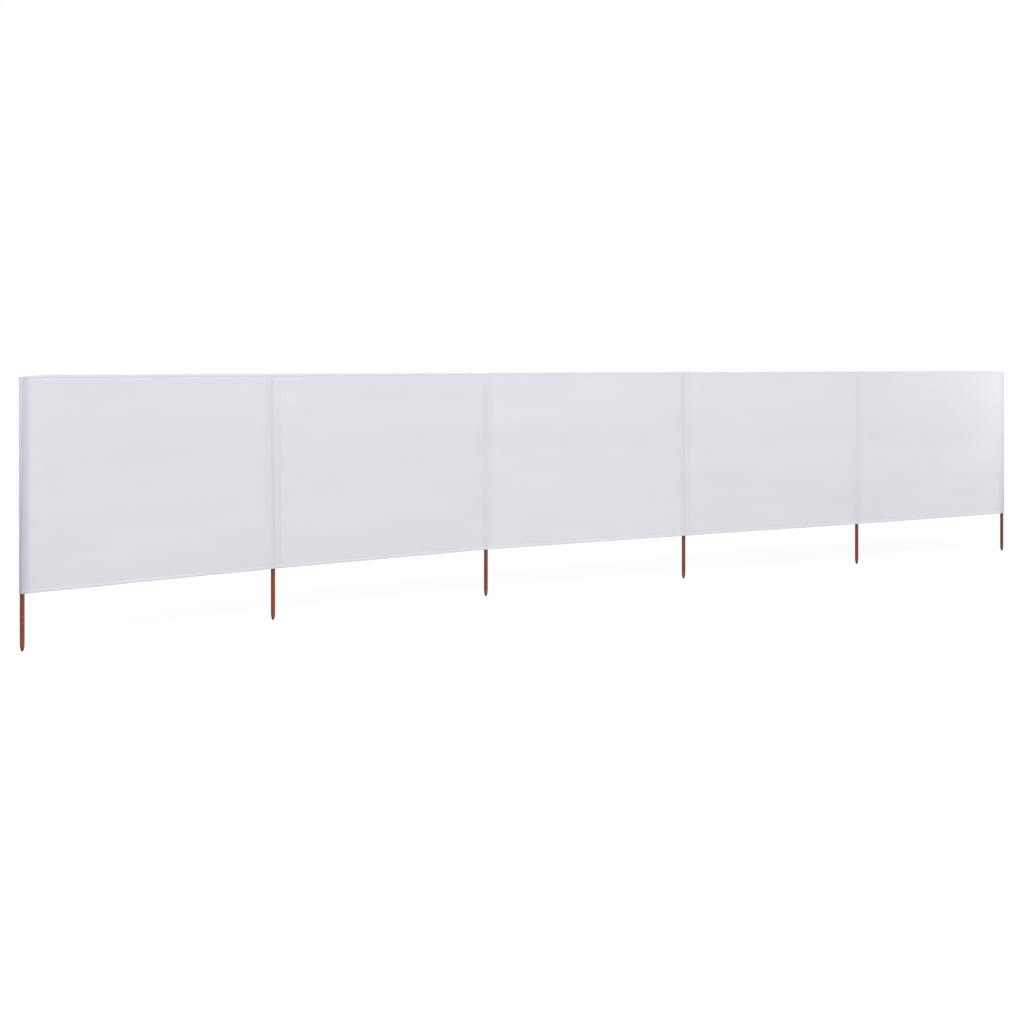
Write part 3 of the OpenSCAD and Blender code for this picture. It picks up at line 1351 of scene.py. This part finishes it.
@dataclass
class BayCloth:
    """Cloth of one bay with its two hems and their stitches."""

    number: int
    surface: ClothSurface
    maker: ClothMaker
    sewer: StitchMaker

    def columns(self) -> Array:
        """Places of the bay's columns.

        Returns:
            Distances along the screen, from seam to seam.
        """
        cut, bay = self.surface.cut, self.surface.plan.bay
        start = (self.number - 1) * bay
        return np.linspace(start + cut.seam_end, start + bay - cut.seam_end, cut.bay_columns)

    def sheet(self, finish: Material) -> Object:
        """Makes the cloth of the bay, from seam to seam.

        Args:
            finish: Material of the cloth.

        Returns:
            The new object.
        """
        run, rows = self.columns(), self.surface.rows()
        layer = Layer.make(self.surface.place(run, rows), run, rows, self.surface.shade(run, rows))
        return self.maker.shell(f"bay_sheet_{self.number}", [layer], finish)

    def hem(self, edge: Edge, finish: Material) -> Object:
        """Makes the folded hem of one edge.

        Args:
            edge: The edge.
            finish: Material of the cloth.

        Returns:
            The new object.
        """
        run, plan = self.columns(), self.surface.plan
        limit = plan.high if edge is Edge.TOP else plan.low
        points, rise = self.maker.folded_edge(partial(self.surface.place, run), edge, limit, True)
        name = f"{edge.name.lower()}_fold_{self.number}"
        return self.maker.shell(name, [Layer.make(points, run, rise)], finish)

    def stitch_rows(self) -> list[StitchRow]:
        """Rows of stitches along both hems.

        Returns:
            The rows in front, then those behind.
        """
        run, cut, plan = self.columns(), self.surface.cut, self.surface.plan
        heights = np.array([plan.low + cut.hem_stitch, plan.high - cut.hem_stitch])
        back = flat_vectors(self.surface.base(run)[1])
        faces = (-cut.skin, cut.stack + cut.skin)
        return [StitchRow(line, back) for face in faces for line in self.surface.place(run, heights, face)]

    def build(self, finishes: Finishes) -> None:
        """Builds and dresses the bay.

        Args:
            finishes: Materials.
        """
        plan, number = self.surface.plan, self.number
        sheet = dress(self.sheet(finishes.cloth), Slot.CLOTH, f"cloth_bay_{number}")
        top = dress(self.hem(Edge.TOP, finishes.cloth), Slot.CLOTH, f"top_hem_{number}")
        foot = dress(self.hem(Edge.BOTTOM, finishes.cloth), Slot.CLOTH, f"bottom_hem_{number}")
        sewn = self.sewer.sew(f"hem_stitches_{number}", self.stitch_rows(), finishes.stitches)
        stitches = dress(sewn, Slot.CLOTH)


@dataclass
class PostPocket:
    """Sewn pocket round one post: the cloth in front, and the strip or the wrapped end behind."""

    number: int
    surface: ClothSurface
    maker: ClothMaker
    sewer: StitchMaker
    strip_gap: float = 0.00062
    hem_fade: float = 0.006
    lens_margin: float = 0.001
    lens_power: float = 1.4
    least_turn: float = 0.42
    back_shade: float = 0.8

    @property
    def post(self) -> int:
        """Number of the post, from 0."""
        return self.number - 1

    @property
    def end(self) -> End:
        """Which end of the screen the pocket is at."""
        return {0: End.LEFT, POST_COUNT - 1: End.RIGHT}.get(self.post, End.NONE)

    @property
    def centre(self) -> float:
        """Distance of the post along the screen."""
        return self.post * self.surface.plan.bay

    def opening(self, run: Array, height: Array) -> Array:
        """Room between the front and the back of the pocket.

        Args:
            run: Distances along the screen, one for each column.
            height: Heights, one for each row.

        Returns:
            Depth of the room, with the layers of the hems.
        """
        surface, cut, plan = self.surface, self.surface.cut, self.surface.plan
        along, up = run[None, :] - self.centre, height[:, None]
        inside = np.clip(1.0 - (along / (cut.seam - self.lens_margin)) ** 2, 0.0, None)
        lens = surface.shapes[self.post].back_crest * surface.fullness(up) * inside ** self.lens_power
        inward = np.minimum(np.abs(up - plan.low), np.abs(up - plan.high))
        hemmed = cut.stack * (1 - ease((inward - cut.hem_height) / self.hem_fade))
        return surface.ridge(self.post, along, up) + lens + self.strip_gap + hemmed

    def strip(self, run: Array) -> Grid:
        """Back of the pocket as a function of the heights of its rows."""
        return lambda heights: self.surface.place(run, heights, self.opening(run, heights))

    def wrapped(self, shares: Array) -> Grid:
        """Cloth that runs from the front seam round an end post to the back seam.

        Args:
            shares: Places along the wrap: from -1 to 0 in front, 0 to 1 round the post, 1 to 2 behind.

        Returns:
            Function from the heights of the rows to a grid of points.
        """
        surface, sign = self.surface, self.end.value
        cut, heading = surface.cut, surface.plan.pocket_headings[self.post]
        outer = -sign * cut.wrap_radius * np.array([math.cos(heading), math.sin(heading), 0.0])
        swing = math.pi * np.clip(shares, 0.0, 1.0)[None, :, None]
        turning = ((shares > 0) & (shares < 1))[None, :, None]
        front_run = self.centre + sign * cut.seam_end * np.clip(-shares, 0.0, 1.0)
        back_run = self.centre + sign * cut.seam_end * np.clip(shares - 1.0, 0.0, 1.0)

        def grid(heights: Array) -> Array:
            """Points of the wrapped cloth.

            Args:
                heights: Heights, one for each row.

            Returns:
                Grid of points, rows by columns by three.
            """
            front = surface.place(front_run, heights)
            behind = surface.place(back_run, heights, self.opening(back_run, heights))
            reach = self.least_turn + (1 - self.least_turn) * surface.fullness(heights)[:, None, None]
            arc = (front + behind) / 2 - (behind - front) / 2 * np.cos(swing) + outer * reach * np.sin(swing)
            drop, start = (surface.edge_shift(np.array([[self.centre - beyond]]), heights[:, None])
                           for beyond in (sign * cut.wrap_radius, 0.0))
            arc[..., 2] += (drop - start) * np.sin(swing[..., 0])
            return np.where(turning, arc, np.where((shares <= 0)[None, :, None], front, behind))

        return grid

    def wrap_shares(self) -> Array:
        """Places of the columns along the wrap of an end pocket.

        Returns:
            Shares from -1 in front to 2 behind, turned round at the left end so that the cloth faces out.
        """
        cut = self.surface.cut
        flank = np.linspace(-1, 0, cut.pocket_columns // 2 + 1)
        turn = np.linspace(0, 1, cut.wrap_columns)
        shares = np.concatenate([flank, turn[1:-1], flank + 2])
        return shares[::-1] if self.end is End.LEFT else shares

    def walls(self) -> list[tuple[Grid, Array, Array]]:
        """Layers of the pocket's cloth, the one in front first.

        Returns:
            For each layer its points, its weave coordinates along the run and its painted shade.
        """
        surface, cut, rows = self.surface, self.surface.cut, self.surface.rows()
        if self.end is End.NONE:
            run = np.linspace(self.centre - cut.seam_end, self.centre + cut.seam_end, cut.pocket_columns)
            shade = surface.shade(run, rows)
            front = partial(surface.place, run)
            return [(front, run, shade), (self.strip(run), run, shade * self.back_shade)]
        shares = self.wrap_shares()
        girth = math.pi * cut.wrap_radius * np.clip(shares, 0.0, 1.0)
        seen_run = self.centre + self.end.value * (cut.seam_end * np.clip(-shares, 0.0, 1.0) - girth)
        return [(self.wrapped(shares), self.centre + cut.seam_end * shares, surface.shade(seen_run, rows))]

    def layers(self) -> list[Layer]:
        """Layers of the pocket.

        Returns:
            The cloth in front and behind, each with its folded mouth, and the hem at the top.
        """
        plan, rows, walls, layers = self.surface.plan, self.surface.rows(), self.walls(), []
        for grid, weave, shade in walls:
            layers.append(Layer.make(grid(rows), weave, rows, shade))
            points, rise = self.maker.folded_edge(grid, Edge.BOTTOM, plan.low, False)
            layers.append(Layer.make(points, weave, rise, np.repeat(shade[:1], len(rise), axis=0)))
        front, weave, _ = walls[0]
        points, rise = self.maker.folded_edge(front, Edge.TOP, plan.high, False)
        kept = slice(None) if self.end is End.NONE else np.flatnonzero(self.wrap_shares() <= 0)
        return layers + [Layer.make(points[:, kept], weave[kept], rise)]

    def seam_rows(self) -> list[StitchRow]:
        """Rows of stitches that run up beside the post.

        Returns:
            Two rows for each seam, in front and behind.
        """
        surface, cut, plan, rows = self.surface, self.surface.cut, self.surface.plan, []
        sides = {End.NONE: (-1, 1), End.LEFT: (1,), End.RIGHT: (-1,)}[self.end]
        for place in [side * reach for side in sides for reach in (cut.seam, cut.outer_stitch)]:
            run, stop = np.array([self.centre + place]), plan.high - cut.seam_margin
            back = np.repeat(flat_vectors(surface.base(run)[1]), cut.seam_points, axis=0)
            front = np.linspace(plan.low + cut.seam_margin, stop, cut.seam_points)
            rear = np.linspace(plan.low + cut.hem_height + cut.skin, stop, cut.seam_points)
            room = self.opening(run, rear)
            rows.append(StitchRow(surface.place(run, front, -cut.skin)[:, 0], back))
            rows.append(StitchRow(surface.place(run, rear, room + cut.skin)[:, 0], back))
        return rows

    def hem_rows(self) -> list[StitchRow]:
        """Rows of stitches across the pocket.

        Returns:
            The rows of both hems in front, of the band that closes the pocket and of its mouth.
        """
        surface, cut, plan = self.surface, self.surface.cut, self.surface.plan
        mouth, head = plan.low + cut.hem_stitch, plan.high - cut.hem_stitch
        closing = plan.high - cut.closing_stitch
        inner = 0.0 if self.end is not End.NONE else -cut.seam_end
        across = np.linspace(inner, cut.seam_end, cut.pocket_columns) * (self.end.value or 1)
        across = np.sort(self.centre + across)
        back = flat_vectors(surface.base(across)[1])

        def row(height: float, face: float, behind: bool) -> StitchRow:
            """Row at one height.

            Args:
                height: Height above the ground.
                face: Distance from the middle of the layer to the face that shows.
                behind: Whether the row is on the back of the pocket.

            Returns:
                The row.
            """
            level = np.array([height])
            room = self.opening(across, level) if behind else 0.0
            return StitchRow(surface.place(across, level, room + face)[0], back)

        rows = [row(head, -cut.skin, False), row(closing, -cut.skin, False), row(closing, cut.skin, True)]
        if self.end is End.NONE:
            rows.append(row(mouth, -cut.skin, False))
            grid, face = self.strip(across), -cut.stack - cut.skin
        else:
            grid, face = self.wrapped(self.wrap_shares()), cut.skin
        points = grid(mouth + cut.fold_radius * np.array([-1.0, 0.0, 1.0]))
        normal = outward(points)[1]
        return rows + [StitchRow(points[1] + normal * face, normal)]

    def build(self, finishes: Finishes) -> None:
        """Builds and dresses the pocket.

        Args:
            finishes: Materials.
        """
        plan, cut, number = self.surface.plan, self.surface.cut, self.number
        pocket = self.maker.shell(f"sewn_pocket_{number}", self.layers(), finishes.cloth)
        dress(pocket, Slot.CLOTH, f"pocket_{number}")
        rows = self.seam_rows() + self.hem_rows()
        stitches = dress(self.sewer.sew(f"pocket_stitches_{number}", rows, finishes.stitches), Slot.CLOTH)


@dataclass
class Stake:
    """Turned wooden post with a tapered end: sizes in metres."""

    number: int
    plan: ScreenPlan
    taper: float = 0.027
    tip_radius: float = 0.0035
    tip_soft: float = 0.0008
    tip_wear: Triple = (0.1, 0.3, 0.3)
    bluntness: float = 0.8
    taper_gaps: Pair = (0.004, 0.003)
    taper_rings: int = 8
    taper_wear: float = 0.25
    shoulder: Pair = (0.00003, 0.004)
    shoulder_wear: Pair = (0.3, 0.1)
    shaft_rings: tuple[int, int, int] = (6, 6, 20)
    shaft_gaps: Pair = (0.02, 0.01)
    neck_share: float = 0.8
    chamfer: float = 0.0015
    chamfer_round: float = 0.4
    top_wear: tuple[float, ...] = (0.4, 0.6, 0.6, 0.3)
    sides: int = 40
    crease: float = math.radians(40)
    # The neck takes painted shade under the pocket's mouth; the tip is darker over the given length
    neck: float = 0.055
    darkened: float = 0.026
    tip_dark: float = 1.3
    seed: int = 90
    uneven: float = 0.012
    uneven_turn: float = 1.5
    uneven_rise: float = 9.0
    uneven_lane: float = 2.0
    stains: tuple[float, ...] = (0.0, 0.10, 0.40, 0.35, 0.65, 0.65)

    def neck_shade_tip_dark(self, height: float) -> float:
        """Painted shade on the neck of the post under the mouth of its pocket, and a darker tip."""
        neck = ease(np.array(1 - (self.plan.low - height) / self.neck))
        return float(neck + self.tip_dark * ease(np.array(1 - height / self.darkened)))

    def profile(self) -> list[Triple]:
        """Outline of the post, from the tip up.

        Returns:
            Radius, height and wear at each ring.
        """
        radius, low, top = self.plan.post_radius, self.plan.low, self.plan.post_top
        tip, soft, taper, chamfer = self.tip_radius, self.tip_soft, self.taper, self.chamfer
        line = list(zip((0.0, tip - soft, tip), (0.0, 0.0, soft), self.tip_wear))
        first, rest = self.taper_gaps
        for height in np.linspace(first, taper - rest, self.taper_rings):
            swell = math.sin(math.pi / 2 * height / taper) ** self.bluntness
            line.append((tip + (radius - tip) * swell, height, self.taper_wear))
        step, rise = self.shoulder
        line += zip((radius - step, radius), (taper, taper + rise), self.shoulder_wear)
        gap, head_gap = self.shaft_gaps
        starts = (taper + gap, low - self.neck_share * self.neck, low + gap)
        stops = (low - self.neck, low, top - head_gap)
        for start, stop, count in zip(starts, stops, self.shaft_rings):
            line += [(radius, height, 0.0) for height in np.linspace(start, stop, count)]
        edge = chamfer * self.chamfer_round
        radii = (radius, radius - edge, radius - chamfer, 0.0)
        return line + list(zip(radii, (top - chamfer, top - edge, top, top), self.top_wear))

    def mesh(self, finish: Material) -> Object:
        """Makes the post's mesh.

        Args:
            finish: Material of the wood.

        Returns:
            The new object.
        """
        name, profile, noise = f"stake_{self.number}", self.profile(), SoftNoise(self.seed + self.number)
        angles = np.linspace(0, 2 * math.pi, self.sides, endpoint=False)
        x, y = self.plan.posts[self.number - 1]
        corners, wear, neck_shade_tip_dark, faces = [], [], [], []
        for radius, height, worn in profile:
            for angle in angles[:1 if radius == 0 else self.sides]:
                lane = self.uneven_lane + math.cos(angle) * self.uneven_turn
                dent = 0.5 + 0.5 * float(noise.at(lane, height * self.uneven_rise))
                turned = radius * (1 - self.uneven * dent)
                corners.append((x + turned * math.cos(angle), y + turned * math.sin(angle), height))
                wear.append(worn)
                neck_shade_tip_dark.append(self.neck_shade_tip_dark(height))
        last = len(corners) - 1
        for side in range(self.sides):
            after = (side + 1) % self.sides
            faces.append((0, 1 + after, 1 + side))
            faces.append((last, last - self.sides + side, last - self.sides + after))
            for ring in range(len(profile) - 3):
                low, high = 1 + ring * self.sides, 1 + (ring + 1) * self.sides
                faces.append((low + side, low + after, high + after, high + side))
        stain = np.full(len(corners), self.stains[self.number - 1])
        values = {"worn": wear, "neck_shade_tip_dark": neck_shade_tip_dark, "stain": stain}
        return new_object(name, smooth_mesh(name, corners, faces, values, self.crease, finish))

    def build(self, finishes: Finishes) -> None:
        """Builds and dresses the post."""
        dress(self.mesh(finishes.wood), Slot.WOOD, f"post_{self.number}")


@dataclass(frozen=True)
class Lamp:
    """A square soft light: sizes in metres, power in watts."""

    name: str
    place: Triple
    power: float
    size: float = 5.0
    aim: Triple = (3.0, 0.1, 0.6)
    shadow: bool = True

    def hang(self) -> None:
        """Hangs the light at its place, turned to its aim."""
        light = bpy.data.lights.new(self.name, "AREA")
        light.energy, light.size, light.use_shadow = self.power, self.size, self.shadow
        lamp = new_object(self.name, light)
        lamp.location = self.place
        aim = np.array(self.aim) - np.array(self.place)
        flat = math.hypot(aim[0], aim[1])
        lamp.rotation_euler = (math.atan2(flat, -aim[2]), 0.0, math.atan2(aim[1], aim[0]) - math.pi / 2)
        lamp.visible_camera = False


LAMPS = (
    Lamp("left", (-9.0, -7.0, 6.5), 540.0),
    Lamp("front", (2.0, -8.0, 8.0), 768.0),
    Lamp("right", (9.0, -8.0, 7.0), 140.0),
    Lamp("end", (6.5, -0.9, 1.35), 4.35, 0.5, (5.9, 0.0, 0.9)),
    Lamp("left_end", (-0.46, 0.195, 0.93), 0.65, 0.3, (0.0, 0.0, 0.91)),
    Lamp("rear", (1.0, 9.0, 6.0), 700.0, shadow=False),
)


@dataclass
class Studio:
    """Camera, lights, floor and backdrop: sizes in metres, lens in millimetres, angles in degrees."""

    eye: Triple = (-3.33, -6.65, 1.0525)
    yaw: float = 40.535
    lens: float = 69.4
    sensor: float = 36.0
    shift: float = -0.145
    sight: float = 200.0
    ambient: float = 0.30
    lamps: Sequence[Lamp] = LAMPS
    floor_reach: float = 40.0
    floor_white: float = 0.36
    floor_seen: float = 0.16
    floor_light: float = 0.80
    shadow_centre: Triple = (3.0, 0.0, 0.0)
    shadow_zone: Pair = (4.2, 7.0)

    def camera(self) -> None:
        """Stands the camera at the photograph's place."""
        camera = bpy.data.cameras.new("camera")
        camera.lens, camera.sensor_width, camera.shift_y = self.lens, self.sensor, self.shift
        camera.clip_end = self.sight
        stand = new_object("camera", camera)
        stand.location = self.eye
        stand.rotation_euler = (math.pi / 2, 0.0, -math.radians(self.yaw))
        bpy.context.scene.camera = stand

    @staticmethod
    def seen(graph: NodeGraph) -> NodeSocket:
        """Tells the rays that show the backdrop from those that light the part.

        Args:
            graph: Graph of the material or of the world.

        Returns:
            One for rays from the camera, in gloss and through glass.
        """
        path = graph.add("ShaderNodeLightPath").outputs
        gloss = graph.math("MAXIMUM", path["Is Glossy Ray"], path["Is Transmission Ray"])
        return graph.math("MAXIMUM", path["Is Camera Ray"], gloss)

    @staticmethod
    def flat_shader(graph: NodeGraph, kind: str, level: float, strength: float | None = None) -> NodeSocket:
        """Adds a plain grey shader.

        Args:
            graph: Graph of the material or of the world.
            kind: Kind of the shader.
            level: Its grey, from 0 to 1.
            strength: Its strength, where it shines.

        Returns:
            The shader.
        """
        inputs = {"Color": (level, level, level, 1.0)}
        if strength is not None:
            inputs["Strength"] = strength
        return graph.add(f"ShaderNode{kind}", inputs).outputs[0]

    @staticmethod
    def mix(graph: NodeGraph, share: NodeSocket, first: NodeSocket, second: NodeSocket) -> NodeSocket:
        """Shader between two shaders."""
        return graph.add("ShaderNodeMixShader", {0: share, 1: first, 2: second}).outputs[0]

    def backdrop(self) -> None:
        """Makes the world: plain soft light, seen as white."""
        world = bpy.data.worlds.new("soft_room")
        world.use_nodes = True
        world.node_tree.nodes.clear()
        graph = NodeGraph(world.node_tree)
        light = self.flat_shader(graph, "Background", 1.0, self.ambient)
        white = self.flat_shader(graph, "Background", 1.0, 1.0)
        graph.add("ShaderNodeOutputWorld", {"Surface": self.mix(graph, self.seen(graph), light, white)})
        bpy.context.scene.world = world

    def floor(self) -> None:
        """Lays a pale floor that keeps the windbreak's soft shadow and fades into the white backdrop."""
        reach = self.floor_reach
        mesh = bpy.data.meshes.new("floor")
        corners = [(-reach, -reach, 0), (reach, -reach, 0), (reach, reach, 0), (-reach, reach, 0)]
        mesh.from_pydata(corners, [], [(0, 1, 2, 3)])
        material = bpy.data.materials.new("pale_floor")
        material.use_nodes = True
        material.node_tree.nodes.clear()
        graph = NodeGraph(material.node_tree)
        lit = self.flat_shader(graph, "BsdfDiffuse", self.floor_white)
        faint = self.flat_shader(graph, "BsdfDiffuse", self.floor_seen)
        glow = self.flat_shader(graph, "Emission", 1.0, 1.0 - self.floor_seen * self.floor_light)
        shown = graph.add("ShaderNodeAddShader", {0: faint, 1: glow}).outputs[0]
        plain = self.flat_shader(graph, "Emission", 1.0, 1.0)
        inputs = {0: graph.place(), 1: self.shadow_centre}
        centred = graph.add("ShaderNodeVectorMath", inputs, operation="SUBTRACT").outputs[0]
        distance = graph.add("ShaderNodeVectorMath", {0: centred}, operation="LENGTH").outputs["Value"]
        faded = self.mix(graph, graph.remap(distance, self.shadow_zone), shown, plain)
        graph.add("ShaderNodeOutputMaterial", {"Surface": self.mix(graph, self.seen(graph), lit, faded)})
        mesh.materials.append(material)
        new_object("floor", mesh)

    def build(self) -> None:
        """Sets up the whole studio."""
        bpy.context.scene.view_settings.view_transform = "Standard"
        self.camera()
        for lamp in self.lamps:
            lamp.hang()
        self.backdrop()
        self.floor()


def main() -> None:
    """Builds the windbreak and its studio."""
    logging.basicConfig(level=logging.INFO, format="%(name)s: %(message)s")
    Studio().build()
    cut, plan = ClothCut(), ScreenPlan.read()
    surface, maker, sewer = ClothSurface(plan, cut, POCKET_SHAPES), ClothMaker(cut), StitchMaker()
    finishes = Finishes.make(sewer)
    for number in range(1, POST_COUNT + 1):
        Stake(number, plan).build(finishes)
        PostPocket(number, surface, maker, sewer).build(finishes)
    for number in range(1, BAY_COUNT + 1):
        BayCloth(number, surface, maker, sewer).build(finishes)


if __name__ == "__main__":
    main()
